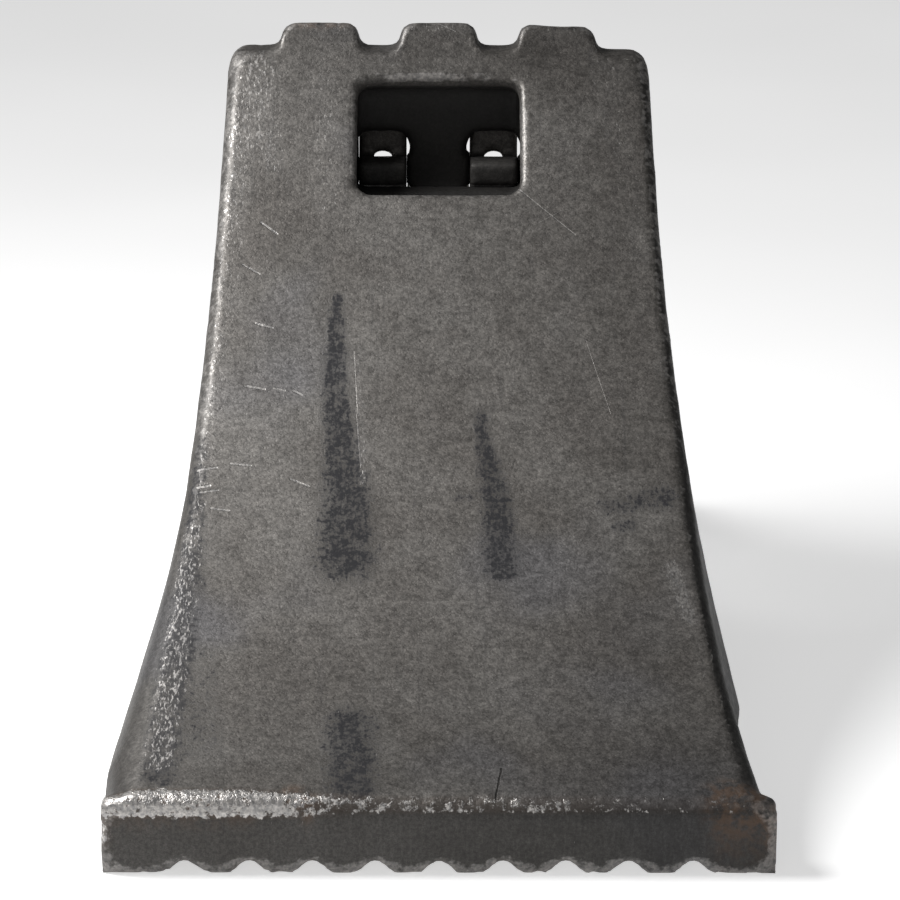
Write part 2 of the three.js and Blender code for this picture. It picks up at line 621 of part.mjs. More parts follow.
function hingePin() {
  const half = RING_INNER_FACE + RING_THICKNESS + PIN_END;
  const chamfer = 1;
  const groove = RING_INNER_FACE - GAP / 2;
  const grooveEnd = groove + RING_THICKNESS + GAP;
  const core = PIN_RADIUS - GROOVE_DEPTH;
  const profile = [
    [0, -half], [PIN_RADIUS - chamfer, -half], [PIN_RADIUS, -half + chamfer],
    [PIN_RADIUS, -grooveEnd], [core, -grooveEnd], [core, -groove], [PIN_RADIUS, -groove],
    [PIN_RADIUS, groove], [core, groove], [core, grooveEnd], [PIN_RADIUS, grooveEnd],
    [PIN_RADIUS, half - chamfer], [PIN_RADIUS - chamfer, half], [0, half],
  ];
  const pin = new THREE.LatheGeometry(profile.map(([r, t]) => new THREE.Vector2(r, t)), ROUND);
  pin.rotateZ(-Math.PI / 2);
  pin.translate(0, back(HINGE_BACK), HINGE_HEIGHT);
  return solidOf(pin);
}

function sleeve(inner, outer, x0, x1) {
  return hingeBar(outer, x0, x1).subtract(hingeBar(inner, x0 - 1, x1 + 1));
}

function spanOnSide(side, near, thickness) {
  return side > 0 ? [near, near + thickness] : [-near - thickness, -near];
}

function thrustWasher(side, near) {
  return sleeve(PIN_RADIUS + GAP, WASHER_RADIUS, ...spanOnSide(side, near, THRUST_THICKNESS));
}

function endWasher(side) {
  return sleeve(PIN_RADIUS + GAP, WASHER_RADIUS, ...spanOnSide(side, LUG_OUTER + GAP, END_WASHER_THICKNESS));
}

function bushing(side) {
  const length = EAR_OUTER - EAR_INNER - 2 * GAP;
  return sleeve(PIN_RADIUS + GAP, BUSHING_RADIUS, ...spanOnSide(side, EAR_INNER + GAP, length));
}

// A C-shaped retaining ring with its gap facing down.
function retainingRing(side) {
  const inner = PIN_RADIUS - GROOVE_DEPTH + GAP;
  const outer = PIN_RADIUS + 3;
  const ring = sleeve(inner, outer, ...spanOnSide(side, RING_INNER_FACE, RING_THICKNESS));
  const mouth = polygon([
    [HINGE_BACK - inner * 0.8, HINGE_HEIGHT],
    [HINGE_BACK - inner * 0.8, HINGE_HEIGHT - outer - 1],
    [HINGE_BACK + inner * 0.8, HINGE_HEIGHT - outer - 1],
    [HINGE_BACK + inner * 0.8, HINGE_HEIGHT],
  ]);
  return ring.subtract(sweptAcross(mouth, -LUG_OUTER - 20, LUG_OUTER + 20));
}

const SCREW_HEAD_RADIUS = 4.4;
const SCREW_HEAD_HEIGHT = 2.6;
const BUMPER_SEAT = 4;               // rubber left under the screw head

// The profile runs from the face end (0) to the free end of the bumper.
function bumper(side) {
  const bore = SCREW_RADIUS + GAP;
  const pocket = SCREW_HEAD_RADIUS + GAP;
  const profile = [
    [bore, 0], [BUMPER_RADIUS, 0], [BUMPER_RADIUS, 2], [BUMPER_RADIUS - 1, BUMPER_HEIGHT - 1],
    [BUMPER_RADIUS - 2, BUMPER_HEIGHT], [pocket, BUMPER_HEIGHT], [pocket, BUMPER_SEAT],
    [bore, BUMPER_SEAT], [bore, 0],
  ];
  return onBumperSeat(profile, side);
}

function bumperScrew(side) {
  const tip = -SCREW_DEPTH;
  const head = BUMPER_SEAT + GAP;
  const profile = [
    [0, tip], [SCREW_RADIUS - 0.5, tip], [SCREW_RADIUS, tip + 0.5], [SCREW_RADIUS, head],
    [SCREW_HEAD_RADIUS, head], [SCREW_HEAD_RADIUS, head + SCREW_HEAD_HEIGHT - 0.8],
    [SCREW_HEAD_RADIUS - 0.8, head + SCREW_HEAD_HEIGHT], [0, head + SCREW_HEAD_HEIGHT],
  ];
  return onBumperSeat(profile, side);
}

function onBumperSeat(profile, side) {
  const turned = new THREE.LatheGeometry(profile.map(([r, t]) => new THREE.Vector2(r, t)), ROUND);
  turned.rotateX(-Math.PI / 2);
  return solidOf(placedOnBumperAxis(turned, side * BUMPER_X, BUMPER_FACE + GAP));
}

// ---------------------------------------------------------------- the assembly
const chock = new THREE.Group();

function addPiece(name, solid, material) {
  const mesh = new THREE.Mesh(geometryOf(solid), material);
  mesh.name = name;
  chock.add(mesh);
}

addPiece("face_casting", faceCasting(), castAlloy);
addPiece("rear_brace", rearBrace(), castAlloy);
addPiece("hinge_pin", hingePin(), steel);
for (const [label, side] of [["left", -1], ["right", 1]]) {
  addPiece(`brace_bushing_${label}`, bushing(side), bronze);
  addPiece(`inner_thrust_washer_${label}`, thrustWasher(side, CENTRE_KNUCKLE_HALF + GAP), nylon);
  addPiece(`outer_thrust_washer_${label}`, thrustWasher(side, EAR_OUTER + GAP), nylon);
  addPiece(`end_washer_${label}`, endWasher(side), steel);
  addPiece(`retaining_ring_${label}`, retainingRing(side), steel);
  addPiece(`rubber_bumper_${label}`, bumper(side), rubber);
  addPiece(`bumper_screw_${label}`, bumperScrew(side), steel);
}

export default chock;
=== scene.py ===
"""The looks of a folding cast wheel chock: worn, dark sand-cast aluminium, steel and rubber hardware.

Everything is in metres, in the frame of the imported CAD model: +Z up, the toe lip towards -Y.
"""

import json
import math

import bmesh
import bpy
import numpy as np
from mathutils import Matrix, Vector
from types import SimpleNamespace


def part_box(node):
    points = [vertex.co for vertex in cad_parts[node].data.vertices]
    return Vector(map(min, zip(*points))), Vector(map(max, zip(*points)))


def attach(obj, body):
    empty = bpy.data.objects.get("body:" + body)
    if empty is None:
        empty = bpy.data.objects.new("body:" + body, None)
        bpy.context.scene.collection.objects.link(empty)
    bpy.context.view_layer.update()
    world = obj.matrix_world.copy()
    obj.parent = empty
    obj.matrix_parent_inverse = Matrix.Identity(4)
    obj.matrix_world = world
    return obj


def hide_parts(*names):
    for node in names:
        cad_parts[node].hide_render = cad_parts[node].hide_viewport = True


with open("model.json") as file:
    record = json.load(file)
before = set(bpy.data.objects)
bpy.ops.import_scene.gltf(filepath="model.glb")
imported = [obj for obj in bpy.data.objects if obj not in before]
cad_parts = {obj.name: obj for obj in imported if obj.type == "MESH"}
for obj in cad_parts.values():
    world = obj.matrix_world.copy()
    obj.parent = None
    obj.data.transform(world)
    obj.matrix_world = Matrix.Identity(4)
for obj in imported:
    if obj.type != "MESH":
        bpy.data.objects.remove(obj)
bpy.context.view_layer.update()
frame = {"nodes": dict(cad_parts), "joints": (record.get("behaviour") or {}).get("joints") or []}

MM = 0.001
TOE_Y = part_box("face_casting")[0].y
HINGE = Vector(frame["joints"][0]["pos_m"])

TYRE_RADIUS = 560 * MM
TYRE_AXIS_Y = TOE_Y - 165.6 * MM
TYRE_AXIS_Z = TYRE_RADIUS
TOE_ANGLE = math.asin((TOE_Y - TYRE_AXIS_Y) / TYRE_RADIUS)
LIP_HEIGHT = 25.4 * MM
HALF_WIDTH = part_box("face_casting")[1].x / MM - 0.02
FACE_HALF_AT_TOE = 99.2
KNUCKLE_RADIUS = 12.5 * MM
PIN_RADIUS = 6 * MM

FACE_VOXEL = 1.8 * MM
BRACE_VOXEL = 1.2 * MM


# ---------------------------------------------------------------- mesh tools
def read_points(mesh):
    points = np.empty(len(mesh.vertices) * 3)
    mesh.vertices.foreach_get("co", points)
    return points.reshape(-1, 3)


def write_points(mesh, points):
    mesh.vertices.foreach_set("co", points.astype(np.float32).ravel())
    mesh.update()


def read_normals(mesh):
    normals = np.empty(len(mesh.vertices) * 3)
    mesh.vertices.foreach_get("normal", normals)
    return normals.reshape(-1, 3)


def read_edges(mesh):
    edges = np.empty(len(mesh.edges) * 2, dtype=np.int64)
    mesh.edges.foreach_get("vertices", edges)
    return edges.reshape(-1, 2)


def neighbour_mean(values, edges):
    """The mean of each vertex's neighbours, for an array of one row per vertex."""
    count = len(values)
    ends = np.concatenate([edges[:, 0], edges[:, 1]])
    others = np.concatenate([edges[:, 1], edges[:, 0]])
    number = np.maximum(np.bincount(ends, minlength=count), 1)
    columns = values.reshape(count, -1)
    mean = [np.bincount(ends, weights=column[others], minlength=count) / number for column in columns.T]
    return np.stack(mean, axis=1).reshape(values.shape)


def relaxed(values, edges, passes, share=0.5):
    for _ in range(passes):
        values = values + share * (neighbour_mean(values, edges) - values)
    return values


def smoothstep(low, high, value):
    t = np.clip((value - low) / (high - low), 0, 1)
    return t * t * (3 - 2 * t)


def add_attribute(mesh, name, values):
    attribute = mesh.attributes.new(name, "FLOAT", "POINT")
    attribute.data.foreach_set("value", np.ascontiguousarray(values, dtype=np.float32))


def new_object(name, mesh, material):
    obj = bpy.data.objects.new(name, mesh)
    bpy.context.scene.collection.objects.link(obj)
    if material is not None:
        mesh.materials.clear()
        mesh.materials.append(material)
    mesh.polygons.foreach_set("use_smooth", np.ones(len(mesh.polygons), dtype=bool))
    return obj


def baked_modifiers(obj):
    """Replaces obj's mesh with the result of its modifiers."""
    graph = bpy.context.evaluated_depsgraph_get()
    result = bpy.data.meshes.new_from_object(obj.evaluated_get(graph))
    obj.modifiers.clear()
    obj.data = result
    return obj


def cast_copy(node, name, voxel):
    """A fine, evenly meshed copy of a CAD casting with its corners rounded as sand casting leaves them."""
    work = bmesh.new()
    work.from_mesh(frame["nodes"][node].data)
    bmesh.ops.remove_doubles(work, verts=work.verts, dist=0.002 * MM)
    mesh = bpy.data.meshes.new(name)
    work.to_mesh(mesh)
    work.free()
    obj = new_object(name, mesh, None)
    remesh = obj.modifiers.new("even", "REMESH")
    remesh.mode = "VOXEL"
    remesh.voxel_size = voxel
    baked_modifiers(obj)
    write_points(obj.data, relaxed(read_points(obj.data), read_edges(obj.data), passes=3))
    return obj


def waves(points, scale, seed):
    """A smooth random field made of a few sine waves, from about -1 to 1."""
    random = np.random.default_rng(seed)
    total = np.zeros(len(points))
    number = 14
    for _ in range(number):
        direction = random.normal(size=3)
        direction /= np.linalg.norm(direction)
        stretch = random.uniform(0.6, 1.7)
        phase = random.uniform(0, 2 * math.pi)
        total += np.sin(points @ direction * (2 * math.pi * stretch / scale) + phase)
    return total / math.sqrt(number)


# ---------------------------------------------------------------- places on the tyre face
def face_coordinates(points):
    """Across (x), along the arc from the toe (s) and out of the tyre face (height), in millimetres."""
    back = points[:, 1] - TYRE_AXIS_Y
    down = TYRE_AXIS_Z - points[:, 2]
    angle = np.arctan2(back, down)
    radius = np.hypot(back, down)
    across = points[:, 0] / MM
    along = (angle - TOE_ANGLE) * TYRE_RADIUS / MM
    height = (TYRE_RADIUS - radius) / MM
    return across, along, height


def stroke(across, along, mark):
    """How much a soft stroke from one place on the face to another covers each vertex, from 0 to 1."""
    x0, s0, x1, s1, half0, half1, strength = mark
    run = np.array([x1 - x0, s1 - s0])
    length_squared = max(float(run @ run), 1e-6)
    t = np.clip(((across - x0) * run[0] + (along - s0) * run[1]) / length_squared, 0, 1)
    gap = np.hypot(across - x0 - t * run[0], along - s0 - t * run[1])
    half = half0 + t * (half1 - half0)
    return strength * (1 - smoothstep(0.35, 1.45, gap / half))


def strokes(across, along, marks):
    total = np.zeros(len(across))
    for mark in marks:
        total = np.maximum(total, stroke(across, along, mark))
    return total


# Each mark is x0, s0, x1, s1, half width at the first end, half width at the second, strength.
TYRE_RUBS = [
    (-36, 230, -36.5, 207, 2.5, 4, 0.9),
    (-36.5, 207, -36, 184, 4.5, 5.5, 1.0),
    (-36, 184, -33.5, 165, 5.5, 7, 1.0),
    (-33.5, 165, -32, 145, 7, 9, 1.0),
    (-32, 145, -31.5, 115, 9, 11.5, 1.0),
    (-29, 38, -28, 8, 9, 9, 0.95),
    (14.5, 180, 16, 165, 2.5, 3.5, 0.9),
    (16, 165, 19.3, 147, 3.5, 5.5, 1.0),
    (19.3, 147, 21.5, 111, 6, 6.5, 1.0),
    (6, 143, 17, 145, 2, 3.5, 0.55),
    (-83, 168, -84, 120, 3, 4.5, 0.8),
    (-84, 120, -87, 60, 5, 7, 0.95),
    (-87, 60, -90, 14, 7, 6, 0.9),
    (58, 139, 78, 143, 4, 6, 0.72),
    (62, 130, 66, 131, 3, 3, 0.75),
    (-78, 70, -78, 30, 5, 9, 0.35),
]
BRIGHT_SCUFFS = [
    (-66, 344, -66, 318, 7, 9, 0.62),
    (-67, 318, -71, 296, 10, 8, 0.60),
    (-62, 300, -60, 286, 6, 5, 0.5),
    (-71, 296, -75, 255, 6, 5, 0.5),
    (-74, 255, -79, 190, 6, 4, 0.4),
    (-79, 190, -83, 120, 3, 3, 0.5),
    (-42, 320, -40, 270, 6, 6, 0.4),
    (-55, 345, -20, 343, 3, 3, 0.4),
    (-44, 345, 60, 343, 4, 3, 0.42),
    (79, 112, 84, 88, 3.5, 3.5, 0.85),
    (84, 88, 87, 60, 2.5, 2.5, 0.3),
    (-85, 125, -90, 20, 6, 6, 0.62),
    (-28, 205, -26, 150, 1.2, 1.5, 0.6),
    (60, 330, 74, 250, 6, 4, 0.3),
    (-70, 30, -40, 18, 6, 8, 0.12),
]
RUST_STAINS = [
    (-72, 352, -52, 354, 4, 3, 1.0),
    (-50, 346, -20, 347, 4, 4, 0.8),
    (40, 352, 74, 350, 4, 4, 0.45),
    (92, 4, 106, 3, 8, 7, 1.0),
    (-104, 2, -60, 1, 4, 3, 0.5),
    (-47, 5, -42, 1, 4, 3, 0.8),
    (-10, 349, 12, 349, 4, 4, 0.5),
]
# Each scratch is x0, s0, x1, s1, half width in millimetres, strength.
SCRATCHES = [
    (29, 276, 49, 257, 0.14, 0.5),
    (36, 262, 44, 267, 0.1, 0.25),
    (-65, 219, -59, 217, 0.35, 0.9),
    (-68, 192, -61, 190.5, 0.28, 0.6),
    (-58, 191, -54, 190, 0.26, 0.5),
    (-51, 190, -48, 188, 0.26, 0.45),
    (-83, 155, -77, 156, 0.34, 0.75),
    (-72, 158, -65, 157, 0.3, 0.7),
    (-83, 147, -79, 148, 0.4, 0.8),
    (-82, 145, -76, 146, 0.3, 0.7),
    (-51, 151, -45, 148, 0.28, 0.65),
    (-30, 207, -28.5, 180, 0.14, 0.2),
    (-29, 182, -27, 155, 0.12, 0.2),
    (-78, 138, -72, 137, 0.3, 0.6),
    (-64, 262, -58, 257, 0.3, 0.8),
    (-70, 244, -64, 240, 0.25, 0.6),
    (-8, 348, 6, 341, 0.14, 0.4),
    (52, 212, 60, 180, 0.09, 0.15),
]
CRACK = (20, 17, 18, 3, 0.22, 1.0)
PANEL = (-50, 46, 41, 106)           # the shallow recess low on the face: x from, to, s from, to
PANEL_DEPTH = 0.14
FACE_TOP = 358


# ---------------------------------------------------------------- the face casting
def on_tyre_face(height, along):
    return (np.abs(height) < 0.9) & (along > 3) & (along < FACE_TOP - 4)


def trued_face(points, normals):
    """Puts the tyre face on its true radius, with the recess and the slight waviness of the casting."""
    across, along, height = face_coordinates(points)
    to_axis_y = TYRE_AXIS_Y - points[:, 1]
    to_axis_z = TYRE_AXIS_Z - points[:, 2]
    outward = np.stack([np.zeros(len(points)), to_axis_y, to_axis_z], axis=1)
    outward /= np.linalg.norm(outward, axis=1)[:, None]
    facing = np.sum(outward * normals, axis=1) > 0.93
    flat = on_tyre_face(height, along) & facing
    left, right, low, high = PANEL
    soft = 3.0
    inside = smoothstep(left - soft, left + soft, across)
    inside = inside * smoothstep(right + soft, right - soft, across)
    inside = inside * smoothstep(low - soft, low + soft, along)
    inside = inside * smoothstep(high + soft, high - soft, along)
    wave = 0.1 * waves(points, 45 * MM, 3) - 0.12
    target = wave - PANEL_DEPTH * inside
    shift = np.where(flat, target - height, 0) * MM
    return points + outward * shift[:, None]


def trued_knuckles(points, spans):
    """Makes the hinge knuckles truly round where x is in one of the spans."""
    dy = points[:, 1] - HINGE.y
    dz = points[:, 2] - HINGE.z
    radius = np.hypot(dy, dz)
    near = np.abs(radius - KNUCKLE_RADIUS) < 0.35 * MM
    in_span = np.zeros(len(points), dtype=bool)
    for x0, x1 in spans:
        in_span |= (points[:, 0] > x0 + 1.2 * MM) & (points[:, 0] < x1 - 1.2 * MM)
    scale = np.where(near & in_span, (KNUCKLE_RADIUS - 0.1 * MM) / radius, 1)
    trued = points.copy()
    trued[:, 1] = HINGE.y + dy * scale
    trued[:, 2] = HINGE.z + dz * scale
    return trued


def battered(points, normals, wear):
    """Small dents along exposed edges, and the unevenness of a sand casting. It only takes material away."""
    dents = smoothstep(0.35, 1.6, waves(points, 7 * MM, 11)) * wear
    pits = smoothstep(1.5, 2.4, waves(points, 5 * MM, 23))
    skin = 0.5 + 0.5 * np.clip(waves(points, 18 * MM, 7), -1, 1)
    depth = 0.55 * dents + 0.14 * pits + 0.12 * skin
    return points - normals * (depth * MM)[:, None]


def convexity(points, normals, edges, passes):
    """How far each vertex stands proud of the smoothed shape, in millimetres."""
    return np.sum((points - relaxed(points, edges, passes)) * normals, axis=1) / MM


def inside_the_shell(points, normals):
    """1 on the hollow underside and inside the hood, 0 on the outside: where the material paints shade."""
    _, _, height = face_coordinates(points)
    back = (points[:, 1] - TOE_Y) / MM
    up = points[:, 2] / MM
    under = smoothstep(4, 6.5, -height)
    facing_out = smoothstep(0.05, 0.35, np.sign(points[:, 0]) * normals[:, 0])
    outer_wall = facing_out * smoothstep(58, 66, np.abs(points[:, 0]) / MM)
    outer_wall = np.maximum(outer_wall, smoothstep(283.2, 284.4, back))
    outer_wall = np.maximum(outer_wall, smoothstep(18.5, 16.5, back))
    outer_wall = np.maximum(outer_wall, smoothstep(202, 205, up))
    return under * (1 - outer_wall)


# How far the side walls lean out of the pattern's shape, against the distance back from the toe,
# in millimetres.
WALL_STATIONS = (0, 12, 30, 60, 100, 140, 180, 205, 225, 270)
LEFT_WALL_BULGE = (0, 2.5, 4.5, 3.2, 1.2, -1.5, -1, -1.5, -2, 0)
RIGHT_WALL_LEAN = (0, 0, -3.5, -6.8, -5.4, -0.2, -1.4, -3.5, -4, 0)


def leaning_walls(points):
    """Bulges the left wall and presses the right one in a little, both only below the face's edge."""
    back = (points[:, 1] - TOE_Y) / MM
    up = points[:, 2] / MM
    side = points[:, 0] / MM
    drop = np.sqrt(np.maximum(TYRE_RADIUS ** 2 - (points[:, 1] - TYRE_AXIS_Y) ** 2, 0))
    top = (TYRE_AXIS_Z - drop) / MM
    depth = np.clip(1 - up / np.maximum(top, 1), 0, 1)
    on_wall = smoothstep(-24, -10, np.abs(side) - FACE_HALF_AT_TOE + 0.07 * back)
    behind_lip = smoothstep(8, 19, back)
    left = -np.interp(back, WALL_STATIONS, LEFT_WALL_BULGE) * 4 * depth * (1 - depth)
    right = np.interp(back, WALL_STATIONS, RIGHT_WALL_LEAN) * depth ** 0.6 * behind_lip
    shift = np.where(side < 0, left, right) * on_wall
    moved = points.copy()
    moved[:, 0] = np.clip(side + shift, -HALF_WIDTH, HALF_WIDTH) * MM
    return moved


def settled_top(points):
    """The casting's top edge stands a little lower on the right, as its cooling left it."""
    drop = 1.3 * smoothstep(26, 44, points[:, 0] / MM) * smoothstep(200, 209, points[:, 2] / MM)
    settled = points.copy()
    settled[:, 2] -= drop * MM
    return settled


EAR_INNER = 11.8                     # the brace's ears, from x to x on each side, in millimetres
EAR_OUTER = 29.5
SHOULDER_GAP = 0.08
SHOULDER_TOP = 168
HOOD_EDGE = 174.6


def closed_slit(points):
    """Fills the slit beside the brace's left ear, between the hood wall and the shoulder under it."""
    side = points[:, 0] / MM
    back = (points[:, 1] - TOE_Y) / MM
    up = points[:, 2] / MM
    beside_ear = (side > -43.5) & (side < -28.8) & (back > 276.5) & (back < 296)
    shoulder = beside_ear & (up > SHOULDER_TOP - 2.7) & (up < SHOULDER_TOP + 4.4)
    ear_side = shoulder & (side > -EAR_OUTER - 2)
    closed = points.copy()
    closed[shoulder, 2] = HOOD_EDGE * MM
    closed[ear_side, 0] = -(EAR_OUTER + SHOULDER_GAP) * MM
    return closed


def both_sides(*places):
    return [side * place for side in (-1, 1) for place in places]


def pressed_to(points, planes, low, high):
    """Flattens what lies within a millimetre of upright planes beside the ears, between two heights."""
    side = points[:, 0] / MM
    back = (points[:, 1] - TOE_Y) / MM
    up = points[:, 2] / MM
    beside_ears = (back > 277) & (back < 296) & (up > low) & (up < high)
    pressed = points.copy()
    for plane in planes:
        pressed[beside_ears & (np.abs(side - plane) < 1.0), 0] = plane * MM
    return pressed


def finish_casting(obj, material, body, node):
    mesh = obj.data
    mesh.materials.clear()
    mesh.materials.append(material)
    mesh.polygons.foreach_set("use_smooth", np.ones(len(mesh.polygons), dtype=bool))
    settle(obj, body, node)


def make_face_casting(material):
    obj = cast_copy("face_casting", "cast_face", FACE_VOXEL)
    mesh = obj.data
    edges = read_edges(mesh)
    points = trued_face(read_points(mesh), read_normals(mesh))
    points = trued_knuckles(points, [(-43 * MM, -30.9 * MM), (-10.4 * MM, 10.4 * MM), (30.9 * MM, 43 * MM)])
    points = closed_slit(settled_top(leaning_walls(points)))
    write_points(mesh, points)
    normals = read_normals(mesh)
    proud = convexity(points, normals, edges, 26)
    lip = smoothstep(LIP_HEIGHT + 3.5 * MM, LIP_HEIGHT - 1 * MM, points[:, 2])
    lip = lip * smoothstep(TOE_Y + 10 * MM, TOE_Y + 2 * MM, points[:, 1])
    wear = np.clip(smoothstep(0.25, 1.0, proud) * (0.35 + lip), 0, 1)
    points = battered(points, normals, wear)
    points = pressed_to(points, both_sides(EAR_INNER - SHOULDER_GAP, EAR_OUTER + SHOULDER_GAP), 156.5, 167.6)
    write_points(mesh, points)
    describe_face(mesh, points, read_normals(mesh), proud)
    finish_casting(obj, material, "face", "face_casting")


def describe_face(mesh, points, normals, proud):
    """Stores what the cast material needs to know about each place."""
    across, along, height = face_coordinates(points)
    outside = smoothstep(-3.2, -1.2, height)
    add_attribute(mesh, "across", across)
    add_attribute(mesh, "along", along)
    add_attribute(mesh, "face", outside * smoothstep(-3, 1, along))
    add_attribute(mesh, "rub", strokes(across, along, TYRE_RUBS) * outside)
    add_attribute(mesh, "scuff", strokes(across, along, BRIGHT_SCUFFS) * outside)
    add_attribute(mesh, "rust", strokes(across, along, RUST_STAINS))
    add_attribute(mesh, "edge", smoothstep(0.3, 1.3, proud))
    add_attribute(mesh, "lip", lip_edge_wear(points, across))
    add_attribute(mesh, "inside", inside_the_shell(points, normals))
    add_attribute(mesh, "grime", grime(points, normals, across, along))
    add_attribute(mesh, "tone", tone(across, along))


def grime(points, normals, across, along):
    """Darker places: painted shade on the lip's front, most to the right, and on both side walls, all over
    the right wall and less on the left; dirt on the teeth.
    """
    # Painted shade on the lip's front, deepening to the right.
    facing_front = smoothstep(0.75, 0.95, -normals[:, 1])
    facing_front = facing_front * smoothstep(3 * MM, 1 * MM, points[:, 1] - TOE_Y)
    front = facing_front * (0.57 + 0.25 * smoothstep(-90, 90, across))
    # Painted shade on both side walls, nearly black on the right one.
    right_wall = 0.96 * smoothstep(0.25, 0.6, normals[:, 0]) * smoothstep(60, 70, across)
    left_wall = 0.42 * smoothstep(0.15, 0.5, -normals[:, 0]) * smoothstep(-60, -70, across)
    teeth = 0.50 * smoothstep(338, 356, along)
    return np.maximum.reduce([front, right_wall, left_wall, teeth])


# Painted light and shade: how much lighter or darker the tyre face is made, against the distance along the
# arc from the toe.
PAINTED_LIGHT_STATIONS = (-10, 25, 90, 160, 230, 300, 345)
PAINTED_LIGHT_LEVELS = (0.90, 0.98, 1.19, 1.22, 1.12, 0.96, 0.68)


def tone(across, along):
    """Painted light and shade over the tyre face: lighter in the middle of the arc, darker towards the toe
    and the teeth, and a little darker to the right.
    """
    rise = np.interp(along, PAINTED_LIGHT_STATIONS, PAINTED_LIGHT_LEVELS)
    return rise * (1.03 - 0.05 * smoothstep(20, 80, across))


def lip_edge_wear(points, across):
    """The bright, ground-down top edge of the toe lip, strongest on the left."""
    height = points[:, 2] / MM
    back = (points[:, 1] - TOE_Y) / MM
    depth = 6.5 - 3.2 * smoothstep(-75, -10, across)
    low = 20.2 + 1.6 * smoothstep(-60, 0, across)
    band = smoothstep(low - 0.8, low + 0.8, height) * smoothstep(depth + 1.5, depth - 1, back)
    end = 0.7 * smoothstep(-104, -107, across) * smoothstep(6, 12, height) * smoothstep(12, 4, back)
    strength = 1.0 - 0.45 * smoothstep(-60, -20, across) - 0.25 * smoothstep(30, 70, across)
    return np.maximum(band * strength, end)


# ---------------------------------------------------------------- the rear brace
def make_rear_brace(material):
    obj = cast_copy("rear_brace", "cast_brace", BRACE_VOXEL)
    mesh = obj.data
    edges = read_edges(mesh)
    points = trued_knuckles(read_points(mesh), [(-29.5 * MM, -11.8 * MM), (11.8 * MM, 29.5 * MM)])
    write_points(mesh, points)
    normals = read_normals(mesh)
    proud = convexity(points, normals, edges, 26)
    foot = smoothstep(12 * MM, 3 * MM, points[:, 2])
    wear = np.clip(smoothstep(0.25, 1.0, proud) * (0.3 + 0.7 * foot), 0, 1)
    points = battered(points, normals, wear)
    points = pressed_to(points, both_sides(EAR_INNER, EAR_OUTER), 155, 188)
    write_points(mesh, points)
    blank = np.zeros(len(points))
    add_attribute(mesh, "across", points[:, 0] / MM)
    add_attribute(mesh, "along", points[:, 2] / MM - 1000)
    add_attribute(mesh, "face", blank)
    add_attribute(mesh, "rub", blank)
    add_attribute(mesh, "scuff", 0.35 * foot)
    add_attribute(mesh, "rust", 0.3 * foot * smoothstep(0.4, 1.4, waves(points, 60 * MM, 5)))
    add_attribute(mesh, "edge", smoothstep(0.3, 1.3, proud))
    add_attribute(mesh, "lip", 0.45 * foot * smoothstep(0.3, 1.0, proud))
    # Painted shade on the tops of the ears, which stand in shadow under the hood.
    ears = smoothstep(150, 158, points[:, 2] / MM)
    ears = ears * smoothstep(287.5, 285.5, (points[:, 1] - TOE_Y) / MM)
    add_attribute(mesh, "inside", 0.85 * ears)
    add_attribute(mesh, "grime", 0.3 * smoothstep(0.2, 1.5, waves(points, 70 * MM, 9)))
    add_attribute(mesh, "tone", blank + 1)
    finish_casting(obj, material, "brace", "rear_brace")


